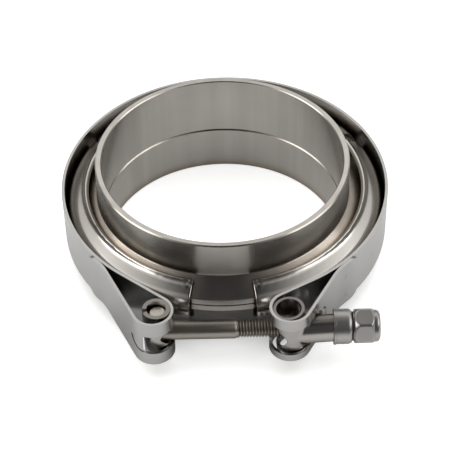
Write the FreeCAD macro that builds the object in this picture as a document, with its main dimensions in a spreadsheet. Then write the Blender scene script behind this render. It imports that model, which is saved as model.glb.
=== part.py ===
import FreeCAD, Part
import Sketcher
import math
import os

# Exhaust V-band clamp closed loosely round a pair of machined flanges.
# Frame: origin at the centre of the flange joint face, +Z along the tube, the bolt in front at -Y.
# The clamp hangs a little low on the flanges and tips forward, so its pieces share one placement.

Vector = FreeCAD.Vector
Rotation = FreeCAD.Rotation
Placement = FreeCAD.Placement

SIZES = {
    # turned flanges
    "tube_diameter": 88.9,
    "tube_wall": 2.2,
    "tube_length": 20.3,
    "end_chamfer": 0.45,
    "rim_reach": 7.5,
    "rim_edge": 2.55,
    "rim_bevel": 0.25,
    "cone_angle": 30.0,
    "foot_fillet": 0.8,
    "register_height": 2.6,
    "register_wall": 3.7,
    "register_clearance": 0.05,
    # V retainers
    "retainer_sheet": 1.5,
    "rim_clearance": 3.25,
    "crest_reach": 5.45,
    "crest_height": 7.1,
    "lip_rise": 1.55,
    "lip_lean": 1.2,
    "web_bend": 3.0,
    "lip_bend": 0.5,
    "front_gap_angle": 23.6,
    "notch_angle": 5.0,
    "notch_spread": 120.2,
    "ring_angle": -1.6,
    # strap
    "strap_sheet": 1.0,
    "strap_width": 19.0,
    "left_loop_place": 24.65,
    "left_loop_reach": 4.05,
    "left_loop_play": 1.35,
    "left_loop_gap": 0.06,
    "right_loop_place": 20.65,
    "right_loop_reach": 3.85,
    "right_loop_play": 0.8,
    "right_loop_gap": 0.95,
    "flap_gap": 0.06,
    "flap_bend": 19.0,
    "left_flap_end_angle": 143.6,
    "left_flap_leave_angle": 138.5,
    "right_flap_end_angle": 40.1,
    "right_flap_leave_angle": 47.0,
    "flap_corner": 4.0,
    # bolt line
    "bolt_reach": 4.05,
    "bolt_drop": 0.25,
    "shank_diameter": 6.5,
    "thread_diameter": 5.9,
    "thread_start": 2.85,
    "thread_taper": 0.8,
    "bolt_end": 49.9,
    "head_diameter": 5.4,
    "head_length": 15.3,
    "head_round": 1.6,
    "head_gap": 0.1,
    # rolled sleeve round the bolt's head
    "sleeve_diameter": 9.2,
    "sleeve_wall": 1.4,
    "sleeve_length": 20.0,
    "sleeve_lift": 0.45,
    "sleeve_slit": 0.9,
    "sleeve_slit_angle": 11.0,
    "shank_clearance": 1.2,
    # slots in the loops
    "left_slot_clearance": 0.75,
    "right_slot_clearance": 1.0,
    "right_slot_drop": 0.45,
    "tongue_reach": 3.35,
    "tongue_slit": 0.7,
    "tongue_sweep_angle": 97.0,
    "window_corner": 1.2,
    "right_tongue_reach": 4.3,
    "right_tongue_height": 7.8,
    "right_tongue_start_angle": 62.0,
    # barrel and neck on the nut side
    "barrel_diameter": 10.4,
    "barrel_wall": 1.0,
    "barrel_length": 18.6,
    "barrel_lift": 1.3,
    "swing_hole_diameter": 10.0,
    "trunnion_tilt_angle": 4.2,
    "trunnion_pivot": 17.0,
    "neck_diameter": 9.6,
    "neck_wall": 0.8,
    "neck_length": 18.85,
    "neck_fillet": 2.4,
    "neck_seam": 0.4,
    "neck_seam_angle": 18.0,
    # cup washer and lock nut
    "cup_diameter": 11.7,
    "cup_wall": 0.75,
    "cup_length": 6.3,
    "cup_hole_clearance": 0.35,
    "cup_end_wall": 1.2,
    "cup_round": 1.7,
    "cup_rim_flare": 0.2,
    "cup_rim_width": 0.6,
    "seat_gap": 0.05,
    "nut_flats": 11.3,
    "nut_face_diameter": 9.8,
    "nut_face_length": 0.5,
    "nut_hex_length": 6.3,
    "nut_crown_diameter": 10.6,
    "nut_crown_length": 2.15,
    "nut_crown_round": 1.3,
    "nut_corner_drop": 0.9,
    "nut_face_chamfer": 1.6,
    "nut_crown_chamfer": 1.0,
    "nut_angle": 11.0,
    "thread_fit": 0.05,
    # how the loose clamp hangs on the flanges
    "clamp_shift_side": 0.7,
    "clamp_shift_back": 1.2,
    "clamp_tilt_angle": 0.7,
    "clamp_rest": 0.2,
}

doc = FreeCAD.newDocument("v_band_clamp")
sheet = doc.addObject("Spreadsheet::Sheet", "Sizes")
for row, (alias, number) in enumerate(SIZES.items(), start=1):
    sheet.set(f"A{row}", alias)
    sheet.set(f"B{row}", str(number))
    sheet.setAlias(f"B{row}", alias)
doc.recompute()


def size(alias):
    return float(sheet.get(alias))


# Sizes worked out from the driving ones
tube_radius = size("tube_diameter") / 2
bore_radius = tube_radius - size("tube_wall")
rim_radius = tube_radius + size("rim_reach")
register_radius = bore_radius + size("register_wall")
strap_inside = rim_radius + size("rim_clearance") + size("retainer_sheet")
strap_middle = strap_inside + size("strap_sheet") / 2
strap_outside = strap_inside + size("strap_sheet")
bolt_y = -(strap_outside + size("bolt_reach"))
bolt_z = -size("bolt_drop")
sleeve_radius = size("sleeve_diameter") / 2
barrel_radius = size("barrel_diameter") / 2
neck_radius = size("neck_diameter") / 2
left_loop = Vector(-size("left_loop_place"), -(strap_outside + size("left_loop_reach")), 0)
right_loop = Vector(size("right_loop_place"), -(strap_outside + size("right_loop_reach")), 0)
left_loop_inside = sleeve_radius + size("left_loop_play")
right_loop_inside = barrel_radius + size("right_loop_play")
sleeve_x = left_loop.x + size("left_loop_play") - size("left_loop_gap")
barrel_x = right_loop.x - size("right_loop_play") + size("right_loop_gap")
shank_radius = size("shank_diameter") / 2
left_slot = shank_radius + size("left_slot_clearance")
right_slot = neck_radius + size("right_slot_clearance")
right_slot_z = bolt_z - size("right_slot_drop")
trunnion_tilt = math.radians(size("trunnion_tilt_angle"))
neck_end = barrel_x + size("neck_length") * math.cos(trunnion_tilt) + neck_radius * math.sin(trunnion_tilt)
cup_start = neck_end + size("seat_gap") + size("cup_end_wall") - size("cup_length")
nut_start = cup_start + size("cup_length") + size("seat_gap")
REACH = 3 * size("strap_width")


def polar(centre, radius, angle):
    return centre + Vector(radius * math.cos(angle), radius * math.sin(angle), 0)


def leg_line():
    """Radius and height of the crest of a retainer's leg, on the middle of its sheet."""
    return tube_radius + size("crest_reach"), size("crest_height")


def clamp_height():
    """Height of the clamp's middle at which its front legs rest on the upper flange's cone."""
    slope = math.tan(math.radians(size("cone_angle")))
    tilt = math.radians(size("clamp_tilt_angle"))
    crest_radius, crest_height = leg_line()
    below = (size("retainer_sheet") / 2 + size("clamp_rest")) / math.cos(math.atan(slope))
    reach = rim_radius + size("clamp_shift_back")
    leg = crest_height + slope * crest_radius - below
    drop = (leg - reach * (slope * math.cos(tilt) + math.sin(tilt)))
    drop /= math.cos(tilt) - slope * math.sin(tilt)
    return size("rim_edge") - drop


CLAMP = Placement(
    Vector(size("clamp_shift_side"), size("clamp_shift_back"), clamp_height()),
    Rotation(Vector(1, 0, 0), size("clamp_tilt_angle")),
)


# Sheet-metal outlines from a path of lines and arcs along the middle of the sheet

def arc_points(segment):
    _, centre, radius, start, end = segment
    return polar(centre, radius, start), polar(centre, radius, end)


def ends(segment):
    return segment[1:3] if segment[0] == "line" else arc_points(segment)


def tangent_path(arcs):
    """Arcs (centre, radius, start, end) in a row, joined by the straight runs between them."""
    path = []
    for centre, radius, start, end in arcs:
        arc = ("arc", centre, radius, start, end)
        first = ends(arc)[0]
        if path and (ends(path[-1])[1] - first).Length > 1e-6:
            path.append(("line", ends(path[-1])[1], first))
        path.append(arc)
    return path


def bent_path(corners, radii):
    """A run of straight stretches through the corners, with a bend of its own radius at each inner one."""
    path = []
    here = corners[0]
    for before, corner, after, radius in zip(corners, corners[1:], corners[2:], radii):
        come = (corner - before).normalize()
        leave = (after - corner).normalize()
        turn = math.atan2(come.cross(leave).z, come.dot(leave))
        setback = radius * math.tan(abs(turn) / 2)
        first = corner - come * setback
        side = math.copysign(1, turn)
        centre = first + Vector(-come.y, come.x, 0) * (side * radius)
        start = math.atan2(first.y - centre.y, first.x - centre.x)
        path.append(("line", here, first))
        path.append(("arc", centre, radius, start, start + turn))
        here = ends(path[-1])[1]
    path.append(("line", here, corners[-1]))
    return path


def offset(segment, distance):
    """The segment moved to the left of its direction of travel."""
    if segment[0] == "line":
        _, first, last = segment
        along = (last - first).normalize()
        shift = Vector(-along.y, along.x, 0) * distance
        return ("line", first + shift, last + shift)
    _, centre, radius, start, end = segment
    turn = 1 if end > start else -1
    return ("arc", centre, radius - turn * distance, start, end)


def curve(segment):
    if segment[0] == "line":
        return Part.LineSegment(segment[1], segment[2])
    _, centre, radius, start, end = segment
    circle = Part.Circle(centre, Vector(0, 0, 1), radius)
    return Part.ArcOfCircle(circle, min(start, end), max(start, end))


def sheet_outline(path, thickness):
    left = [offset(segment, thickness / 2) for segment in path]
    right = [offset(segment, -thickness / 2) for segment in path]
    caps = [
        Part.LineSegment(ends(left[0])[0], ends(right[0])[0]),
        Part.LineSegment(ends(left[-1])[1], ends(right[-1])[1]),
    ]
    return [curve(segment) for segment in left + right] + caps


def crossing_tangent(centre, radius, other, other_radius, side):
    """Angle on the first circle where the line that crosses over to the other circle leaves it."""
    across = other - centre
    spread = math.acos((radius + other_radius) / across.Length)
    return math.atan2(across.y, across.x) + side * spread


# Bodies and their features

def new_body(name):
    body = doc.addObject("PartDesign::Body", name)
    body.Label = name
    return body


def new_sketch(body, name, role, lift=0.0, shapes=()):
    plane = next(item for item in body.Origin.OriginFeatures if item.Role == role)
    sketch = body.newObject("Sketcher::SketchObject", f"{body.Name}_{name}")
    sketch.AttachmentSupport = (plane, [""])
    sketch.MapMode = "FlatFace"
    sketch.AttachmentOffset = Placement(Vector(0, 0, lift), Rotation())
    sketch.addGeometry(list(shapes), False)
    return sketch


def circle(x, y, radius):
    return Part.Circle(Vector(x, y, 0), Vector(0, 0, 1), radius)


def polygon(points):
    corners = [Vector(x, y, 0) for x, y in points]
    return [Part.LineSegment(a, b) for a, b in zip(corners, corners[1:] + corners[:1])]


def bound_polygon(sketch, points):
    """A closed outline whose corners are held by dimensions bound to the sheet."""
    values = [tuple(evaluate(text) for text in point) for point in points]
    lines = [sketch.addGeometry(line, False) for line in polygon(values)]
    for this, following in zip(lines, lines[1:] + lines[:1]):
        sketch.addConstraint(Sketcher.Constraint("Coincident", this, 2, following, 1))
    for line, point, value in zip(lines, points, values):
        for kind, text, number in zip(("DistanceX", "DistanceY"), point, value):
            index = sketch.addConstraint(Sketcher.Constraint(kind, line, 1, number))
            sketch.setExpression(f"Constraints[{index}]", bound(text))


def bound(text):
    """An expression in which every size's name points to its cell."""
    words = []
    for word in text.replace("(", "( ").replace(")", " )").split():
        words.append(f"Sizes.{word}" if word in SIZES else word)
    return " ".join(words)


def evaluate(text):
    probe = doc.getObject("Probe") or doc.addObject("App::FeaturePython", "Probe")
    return float(probe.evalExpression(bound(text)))


def pad(body, sketch, name, length, midplane=False, reverse=False):
    feature = body.newObject("PartDesign::Pad", f"{body.Name}_{name}")
    feature.Profile = sketch
    feature.setExpression("Length", bound(length))
    feature.Midplane = midplane
    feature.Reversed = reverse
    return feature


def pocket(body, sketch, name, length, along_normal, midplane=False):
    """Cut along the sketch's normal, or against it, and make sure that something was cut."""
    before = body.Shape.Volume
    feature = body.newObject("PartDesign::Pocket", f"{body.Name}_{name}")
    feature.Profile = sketch
    feature.Length = length
    feature.Midplane = midplane
    feature.Reversed = along_normal
    doc.recompute()
    if body.Shape.Volume >= before:
        raise ValueError(f"{body.Name}_{name} cuts nothing")
    return feature


def revolve(body, sketch, name, axis, angle="360", midplane=False):
    feature = body.newObject("PartDesign::Revolution", f"{body.Name}_{name}")
    feature.Profile = sketch
    feature.ReferenceAxis = (sketch, [axis])
    feature.setExpression("Angle", bound(angle))
    feature.Midplane = midplane
    return feature


def edges_where(shape, wanted):
    return [f"Edge{number}" for number, edge in enumerate(shape.Edges, start=1) if wanted(edge)]


def dress(body, kind, name, wanted, alias):
    """A fillet or chamfer of the named size on the edges of the tip that are wanted."""
    doc.recompute()
    base = body.Tip
    names = edges_where(base.Shape, wanted)
    feature = body.newObject(f"PartDesign::{kind}", f"{body.Name}_{name}")
    feature.Base = (base, names)
    feature.setExpression("Radius" if kind == "Fillet" else "Size", bound(alias))
    return feature


def is_round(edge, radius, height=None, axis="z"):
    if not isinstance(edge.Curve, Part.Circle) or abs(edge.Curve.Radius - radius) > 1e-4:
        return False
    return height is None or abs(getattr(edge.Curve.Center, axis) - height) < 1e-4


# Flanges

def flange(name, up):
    """A turned flange: tube stub, cone and rim; the upper one carries the register, the lower its recess."""
    sign = "1" if up else "-1"
    step = "register_height" if up else "( register_height + register_clearance )"
    wall = "register_wall" if up else "( register_wall + register_clearance )"
    bore = "( tube_diameter / 2 - tube_wall )"
    rim = "( tube_diameter / 2 + rim_reach )"
    foot = f"{sign} * ( rim_edge + rim_reach * tan( cone_angle * 1 deg ) )"
    body = new_body(name)
    outline = new_sketch(body, "profile", "XZ_Plane")
    bound_polygon(outline, [
        (bore, f"-1 * {step}"),
        (f"{bore} + {wall}", f"-1 * {step}"),
        (f"{bore} + {wall}", "0"),
        (f"{rim} - rim_bevel", "0"),
        (rim, f"{sign} * rim_bevel"),
        (rim, f"{sign} * rim_edge"),
        ("tube_diameter / 2", foot),
        ("tube_diameter / 2", f"{sign} * tube_length"),
        (bore, f"{sign} * tube_length"),
    ])
    revolve(body, outline, "turned", "V_Axis")
    end = size("tube_length") * (1 if up else -1)
    dress(body, "Chamfer", "end_edges",
          lambda edge: is_round(edge, tube_radius, end) or is_round(edge, bore_radius, end),
          "end_chamfer")
    foot_height = evaluate(foot)
    dress(body, "Fillet", "foot", lambda edge: is_round(edge, tube_radius, foot_height), "foot_fillet")
    return body


# V retainers

def retainer(name, span, middle):
    """One rolled segment of the V: web against the strap, legs along the cones, lips turned up."""
    slope = math.tan(math.radians(size("cone_angle")))
    crest_radius, crest_height = leg_line()
    web_radius = strap_inside - size("retainer_sheet") / 2
    web_height = crest_height - slope * (web_radius - crest_radius)
    half = [
        Vector(crest_radius - size("lip_lean"), crest_height + size("lip_rise"), 0),
        Vector(crest_radius, crest_height, 0),
        Vector(web_radius, web_height, 0),
    ]
    corners = half + [Vector(point.x, -point.y, 0) for point in reversed(half)]
    bends = ("lip_bend", "web_bend", "web_bend", "lip_bend")
    radii = [size(alias) + size("retainer_sheet") / 2 for alias in bends]
    body = new_body(name)
    section = sheet_outline(bent_path(corners, radii), size("retainer_sheet"))
    sketch = new_sketch(body, "section", "XZ_Plane", shapes=section)
    revolve(body, sketch, "rolled", "V_Axis", span, midplane=True)
    body.Placement = CLAMP.multiply(Placement(Vector(), Rotation(Vector(0, 0, 1), middle)))
    return body


# Strap

def leg_arcs(loop, loop_radius, leave, end, left):
    """The flap, the reverse bend and the wrap of one loop, from the flap's end to the strap's ring."""
    centre = Vector()
    flap_middle = strap_outside + size("flap_gap") + size("strap_sheet") / 2
    bend = size("flap_bend") + size("strap_sheet") / 2
    bend_centre = polar(centre, flap_middle + bend, leave)
    side = 1 if left else -1
    crossing = crossing_tangent(bend_centre, bend, loop, loop_radius, side)
    ring = crossing_tangent(centre, strap_middle, loop, loop_radius, -side)
    back = leave + math.pi
    wrap_from = crossing + math.pi if left else ring + math.pi
    wrap_to = ring + math.pi if left else crossing + math.pi
    return {
        "flap": (centre, flap_middle, end, leave),
        "bend": (bend_centre, bend, back, crossing),
        "wrap": (loop, loop_radius, wrap_from, wrap_to),
        "ring": ring,
    }


def unwound(arc, turn):
    """The same arc with its end less than a turn past its start, the way that turn says."""
    centre, radius, start, end = arc
    full = 2 * math.pi
    while turn * (end - start) < 0:
        end += turn * full
    while turn * (end - start) > full:
        end -= turn * full
    return centre, radius, start, end


def strap_path():
    half_sheet = size("strap_sheet") / 2
    left = leg_arcs(left_loop, left_loop_inside + half_sheet, math.radians(-size("left_flap_leave_angle")),
                    math.radians(-size("left_flap_end_angle")), True)
    right = leg_arcs(right_loop, right_loop_inside + half_sheet, math.radians(-size("right_flap_leave_angle")),
                     math.radians(-size("right_flap_end_angle")), False)
    centre, flap_radius, flap_end, flap_leave = right["flap"]
    bend_centre, bend, bend_back, bend_crossing = right["bend"]
    return tangent_path([
        unwound(left["flap"], 1),
        unwound(left["bend"], -1),
        unwound(left["wrap"], 1),
        unwound((Vector(), strap_middle, left["ring"], right["ring"]), -1),
        unwound(right["wrap"], 1),
        unwound((bend_centre, bend, bend_crossing, bend_back), -1),
        unwound((centre, flap_radius, flap_leave, flap_end), 1),
    ])


def tongue_window():
    """The left loop's front window with the lanced slit that curls round a tongue at its far end."""
    half = left_slot
    slit = size("tongue_slit")
    edge = left_loop.x - size("tongue_reach")
    centre = Vector(edge, bolt_z, 0)
    start = math.radians(270 - size("tongue_sweep_angle"))
    end = math.radians(270)
    outer = ("arc", centre, half, start, end)
    inner = ("arc", centre, half - slit, start, end)
    corner_x = left_loop.x + left_loop_inside + REACH / 4
    bend = size("window_corner")
    rounding = ("arc", Vector(edge + bend, bolt_z + half - bend, 0), bend, math.pi / 2, math.pi)
    return [
        curve(outer),
        curve(inner),
        Part.LineSegment(ends(outer)[0], ends(inner)[0]),
        Part.LineSegment(ends(inner)[1], ends(rounding)[1]),
        curve(rounding),
        Part.LineSegment(ends(rounding)[0], Vector(corner_x, bolt_z + half, 0)),
        Part.LineSegment(Vector(corner_x, bolt_z + half, 0), Vector(corner_x, bolt_z - half, 0)),
        Part.LineSegment(Vector(corner_x, bolt_z - half, 0), ends(outer)[1]),
    ]


def side_slot(half, height):
    """A slot seen from the side: a round end about the bolt's line, open towards the front."""
    front = bolt_y - REACH / 2
    top = Vector(bolt_y, height + half, 0)
    bottom = Vector(bolt_y, height - half, 0)
    return [
        curve(("arc", Vector(bolt_y, height, 0), half, -math.pi / 2, math.pi / 2)),
        Part.LineSegment(top, Vector(front, height + half, 0)),
        Part.LineSegment(Vector(front, height + half, 0), Vector(front, height - half, 0)),
        Part.LineSegment(Vector(front, height - half, 0), bottom),
    ]


def lanced_slit():
    """Seen from the side: the slit round the tongue that closes the right loop's slot on its outer leg."""
    half = size("right_tongue_height") / 2
    slit = size("tongue_slit")
    centre = Vector(bolt_y + size("right_tongue_reach"), right_slot_z, 0)
    start = math.radians(size("right_tongue_start_angle"))
    outer = ("arc", centre, half, -math.pi / 2, start)
    inner = ("arc", centre, half - slit, -math.pi / 2, start)
    low_end = Vector(bolt_y, right_slot_z - half, 0)
    return [
        curve(outer),
        curve(inner),
        Part.LineSegment(ends(outer)[1], ends(inner)[1]),
        Part.LineSegment(ends(inner)[0], low_end + Vector(0, slit, 0)),
        Part.LineSegment(low_end + Vector(0, slit, 0), low_end),
        Part.LineSegment(low_end, ends(outer)[0]),
    ]


def strap():
    body = new_body("strap")
    outline = new_sketch(body, "outline", "XY_Plane", shapes=sheet_outline(strap_path(), size("strap_sheet")))
    pad(body, outline, "band", "strap_width", midplane=True)
    half_width = size("strap_width") / 2
    dress(body, "Fillet", "flap_corners",
          lambda edge: abs(edge.Length - size("strap_sheet")) < 1e-4
          and abs(abs(edge.CenterOfMass.z) - half_width) < 1e-4, "flap_corner")
    doc.recompute()
    front = new_sketch(body, "tongue_window", "XZ_Plane", lift=-bolt_y, shapes=tongue_window())
    pocket(body, front, "tongue_cut", REACH / 2, along_normal=True)
    inward = new_sketch(body, "left_slot", "YZ_Plane", lift=left_loop.x, shapes=side_slot(left_slot, bolt_z))
    pocket(body, inward, "left_slot_cut", 2 * left_loop_inside, along_normal=True)
    sides = side_slot(right_slot, right_slot_z)
    across = new_sketch(body, "right_slot", "YZ_Plane", lift=right_loop.x, shapes=sides)
    pocket(body, across, "right_slot_cut", 4 * right_loop_inside, along_normal=False, midplane=True)
    beyond = right_loop.x + right_loop_inside
    lance = new_sketch(body, "right_slit", "YZ_Plane", lift=beyond, shapes=lanced_slit())
    pocket(body, lance, "right_slit_cut", 2 * right_loop_inside, along_normal=True)
    body.Placement = CLAMP
    return body


# Bolt, sleeve, barrel, washer and nut

def bolt():
    body = new_body("t_bolt")
    head_radius = size("head_diameter") / 2
    head_x = sleeve_x + sleeve_radius - size("sleeve_wall") - head_radius - size("head_gap")
    thread = size("thread_diameter") / 2
    start = size("thread_start")
    taper = size("thread_taper")
    end = size("bolt_end")
    outline = polygon([
        (head_x, 0), (head_x, shank_radius), (start - taper, shank_radius), (start, thread),
        (end - taper, thread), (end, thread - taper), (end, 0),
    ])
    turned = new_sketch(body, "shank", "XZ_Plane", shapes=outline)
    revolve(body, turned, "turned", "H_Axis")
    head = new_sketch(body, "head", "XY_Plane", shapes=[circle(head_x, 0, head_radius)])
    pad(body, head, "cross_head", "head_length", midplane=True)
    half = size("head_length") / 2
    dress(body, "Fillet", "head_ends",
          lambda edge: is_round(edge, head_radius, half) or is_round(edge, head_radius, -half),
          "head_round")
    body.Placement = CLAMP.multiply(Placement(Vector(0, bolt_y, bolt_z), Rotation()))
    return body


def bolt_sleeve():
    """Sheet rolled round the bolt's cross head, with its slit facing away from the bolt."""
    body = new_body("bolt_sleeve")
    middle = sleeve_radius - size("sleeve_wall") / 2
    half_slit = size("sleeve_slit") / 2 / middle
    slit = math.radians(180 + size("sleeve_slit_angle"))
    path = [("arc", Vector(), middle, slit + half_slit, slit - half_slit + 2 * math.pi)]
    rolled = new_sketch(body, "rolled", "XY_Plane", shapes=sheet_outline(path, size("sleeve_wall")))
    pad(body, rolled, "tube", "sleeve_length", midplane=True)
    doc.recompute()
    way = shank_radius + size("shank_clearance")
    hole = new_sketch(body, "shank_hole", "YZ_Plane", shapes=[circle(0, -size("sleeve_lift"), way)])
    pocket(body, hole, "shank_way", 2 * sleeve_radius, along_normal=True)
    lift = bolt_z + size("sleeve_lift")
    body.Placement = CLAMP.multiply(Placement(Vector(sleeve_x, bolt_y, lift), Rotation()))
    return body


def nut_trunnion():
    """Rolled barrel in the right loop, drawn out into the neck that the cup washer pushes on."""
    body = new_body("nut_trunnion")
    lift = size("barrel_lift")
    barrel = new_sketch(body, "barrel", "XY_Plane", lift=lift, shapes=[circle(0, 0, barrel_radius)])
    pad(body, barrel, "barrel_solid", "barrel_length", midplane=True)
    neck = new_sketch(body, "neck", "YZ_Plane", shapes=[circle(0, 0, neck_radius)])
    pad(body, neck, "neck_solid", "neck_length")
    dress(body, "Fillet", "neck_root",
          lambda edge: not isinstance(edge.Curve, (Part.Circle, Part.Line))
          and edge.BoundBox.Center.x > 0, "neck_fillet")
    doc.recompute()
    inside = circle(0, 0, barrel_radius - size("barrel_wall"))
    hollow = new_sketch(body, "hollow", "XY_Plane", lift=lift, shapes=[inside])
    pocket(body, hollow, "barrel_hollow", REACH, along_normal=False, midplane=True)
    way = new_sketch(body, "way", "YZ_Plane", shapes=[circle(0, 0, neck_radius - size("neck_wall"))])
    pocket(body, way, "neck_bore", 2 * size("neck_length"), along_normal=True)
    hole = [circle(0, 0, size("swing_hole_diameter") / 2)]
    swing = new_sketch(body, "swing_hole", "YZ_Plane", shapes=hole)
    pocket(body, swing, "swing_way", 2 * barrel_radius, along_normal=False)
    half_seam = size("neck_seam") / 2
    seam_start = barrel_radius + size("neck_fillet")
    seam = new_sketch(body, "seam", "XY_Plane", shapes=polygon([
        (seam_start, -half_seam), (2 * size("neck_length"), -half_seam),
        (2 * size("neck_length"), half_seam), (seam_start, half_seam),
    ]))
    seam.AttachmentOffset = Placement(Vector(), Rotation(Vector(1, 0, 0), -size("neck_seam_angle")))
    pocket(body, seam, "neck_seam", 2 * neck_radius, along_normal=True)
    drop = size("trunnion_pivot") * math.sin(trunnion_tilt)
    tilt = Rotation(Vector(0, 1, 0), -size("trunnion_tilt_angle"))
    body.Placement = CLAMP.multiply(Placement(Vector(barrel_x, bolt_y, bolt_z - drop), tilt))
    return body


def cup_washer():
    body = new_body("cup_washer")
    outside = size("cup_diameter") / 2
    inside = outside - size("cup_wall")
    hole = size("thread_diameter") / 2 + size("cup_hole_clearance")
    length = size("cup_length")
    floor = length - size("cup_end_wall")
    rim = size("cup_rim_width")
    outline = polygon([
        (0, inside), (floor, inside), (floor, hole), (length, hole), (length, outside),
        (rim, outside), (rim, outside + size("cup_rim_flare")), (0, outside + size("cup_rim_flare")),
    ])
    turned = new_sketch(body, "section", "XZ_Plane", shapes=outline)
    revolve(body, turned, "drawn", "H_Axis")
    dress(body, "Fillet", "shoulder", lambda edge: is_round(edge, outside, length, "x"), "cup_round")
    body.Placement = CLAMP.multiply(Placement(Vector(cup_start, bolt_y, bolt_z), Rotation()))
    return body


def corner_cut(end, inward, corner):
    """Section of the cone that takes the corners off one end of the hexagon."""
    drop = size("nut_corner_drop")
    beyond = end - math.copysign(drop, inward)
    return polygon([(end, corner - drop), (end + inward, corner), (end + inward, corner + drop),
                    (beyond, corner + drop), (beyond, corner - drop)])


def lock_nut():
    """Hexagon between a round bearing face and the round crown that locks on the thread."""
    body = new_body("lock_nut")
    corner = size("nut_flats") / math.sqrt(3)
    face = size("nut_face_length")
    hex_end = face + size("nut_hex_length")
    crown = size("nut_crown_diameter") / 2
    bore = size("thread_diameter") / 2 + size("thread_fit")
    turns = [math.radians(size("nut_angle") + 60 * step) for step in range(6)]
    hexagon = polygon([(corner * math.cos(turn), corner * math.sin(turn)) for turn in turns])
    prism = new_sketch(body, "hexagon", "YZ_Plane", lift=face, shapes=hexagon)
    pad(body, prism, "prism", "nut_hex_length")
    bearing = new_sketch(body, "face", "YZ_Plane", shapes=[circle(0, 0, size("nut_face_diameter") / 2)])
    pad(body, bearing, "bearing_face", "nut_face_length + nut_hex_length / 2")
    top = new_sketch(body, "crown", "YZ_Plane", lift=face, shapes=[circle(0, 0, crown)])
    pad(body, top, "crown_solid", "nut_hex_length + nut_crown_length")
    whole = hex_end + size("nut_crown_length")
    dress(body, "Fillet", "crown_round", lambda edge: is_round(edge, crown, whole, "x"), "nut_crown_round")
    doc.recompute()
    cuts = corner_cut(face, size("nut_face_chamfer"), corner)
    cuts += corner_cut(hex_end, -size("nut_crown_chamfer"), corner)
    corners = new_sketch(body, "corner_cut", "XZ_Plane", shapes=cuts)
    groove = body.newObject("PartDesign::Groove", "lock_nut_corners")
    groove.Profile = corners
    groove.ReferenceAxis = (corners, ["H_Axis"])
    groove.Angle = 360
    doc.recompute()
    way = new_sketch(body, "bore", "YZ_Plane", shapes=[circle(0, 0, bore)])
    pocket(body, way, "threaded_way", 3 * whole, along_normal=True)
    body.Placement = CLAMP.multiply(Placement(Vector(nut_start, bolt_y, bolt_z), Rotation()))
    return body


half_notch = size("notch_angle") / 2
notch = size("notch_spread") / 2
side_span = 180 - notch - half_notch - size("front_gap_angle") / 2
side_span_text = "180 - notch_spread / 2 - notch_angle / 2 - front_gap_angle / 2"
back_middle = 90 + size("ring_angle")
side_offset = notch + half_notch + side_span / 2

parts = [
    flange("upper_flange", True),
    flange("lower_flange", False),
    retainer("back_retainer", "notch_spread - notch_angle", back_middle),
    retainer("left_retainer", side_span_text, back_middle + side_offset),
    retainer("right_retainer", side_span_text, back_middle - side_offset),
    strap(),
    bolt(),
    bolt_sleeve(),
    nut_trunnion(),
    cup_washer(),
    lock_nut(),
]

doc.recompute()
for item in doc.Objects:
    if "Invalid" in item.State or "Error" in item.State:
        raise ValueError(f"{item.Name} failed: {item.State}")

os.makedirs("parts", exist_ok=True)
for body in parts:
    if body.Shape.isNull() or not body.Shape.isValid() or len(body.Shape.Solids) != 1:
        raise ValueError(f"{body.Label} is not one sound solid")
    body.Shape.exportStep(f"parts/{body.Label}.step")
    print(body.Label, round(body.Shape.Volume, 1), body.Shape.BoundBox)
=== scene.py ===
import math

import bmesh
import bpy
from mathutils import Matrix, Vector


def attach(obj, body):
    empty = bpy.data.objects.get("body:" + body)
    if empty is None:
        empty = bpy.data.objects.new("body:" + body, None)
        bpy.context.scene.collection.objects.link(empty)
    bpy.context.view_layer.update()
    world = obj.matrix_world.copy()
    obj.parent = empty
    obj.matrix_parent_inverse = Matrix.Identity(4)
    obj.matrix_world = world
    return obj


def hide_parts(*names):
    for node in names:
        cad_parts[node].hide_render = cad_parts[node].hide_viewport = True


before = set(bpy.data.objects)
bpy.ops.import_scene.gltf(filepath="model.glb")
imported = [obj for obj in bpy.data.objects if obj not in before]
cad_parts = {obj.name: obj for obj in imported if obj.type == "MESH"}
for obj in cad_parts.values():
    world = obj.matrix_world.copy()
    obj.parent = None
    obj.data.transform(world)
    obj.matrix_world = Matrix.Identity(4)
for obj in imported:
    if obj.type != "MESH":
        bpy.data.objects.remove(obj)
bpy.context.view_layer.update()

MM = 0.001
TURN = 2 * math.pi

# Places taken from the part, in millimetres
BOLT_Y, BOLT_Z = -60.5423, -1.9590
HEAD_X = -22.26
SLEEVE_X, SLEEVE_Y = -22.66, -60.547
FLOOR_Z = -20.3


# Node trees

OCCLUSION_SAMPLES, OCCLUSION_RANGE = 8, (0.2, 0.9)
OPEN_TONE = (1.0, 1.0, 1.0)
# Tones of the painted shade in gaps: brownish dark where closed in, paler brown half way out, white in the
# open.
PAINTED_GAP_SHADE_TONES = ((0.0, (0.32, 0.275, 0.23)), (0.55, (0.68, 0.60, 0.52)), (1.0, OPEN_TONE))


def new_material(name):
    material = bpy.data.materials.new(name)
    material.use_nodes = True
    tree = material.node_tree
    tree.nodes.clear()
    output = add(tree, "ShaderNodeOutputMaterial")
    shader = add(tree, "ShaderNodeBsdfPrincipled")
    tree.links.new(shader.outputs["BSDF"], output.inputs["Surface"])
    return material, tree, shader


def add(tree, kind, **values):
    """A new node, with the values given to its sockets or else to its settings."""
    node = tree.nodes.new(kind)
    for key, value in values.items():
        if key in node.inputs:
            node.inputs[key].default_value = value
        else:
            setattr(node, key, value)
    return node


def feed(tree, socket, value):
    """Sets a socket to a number, or links another node's output to it."""
    if isinstance(value, (int, float)):
        socket.default_value = value
    else:
        tree.links.new(value, socket)


def math_node(tree, operation, first, second):
    node = add(tree, "ShaderNodeMath", operation=operation)
    feed(tree, node.inputs[0], first)
    feed(tree, node.inputs[1], second)
    return node.outputs[0]


def times(tree, *values):
    product = values[0]
    for value in values[1:]:
        product = math_node(tree, "MULTIPLY", product, value)
    return product


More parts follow.
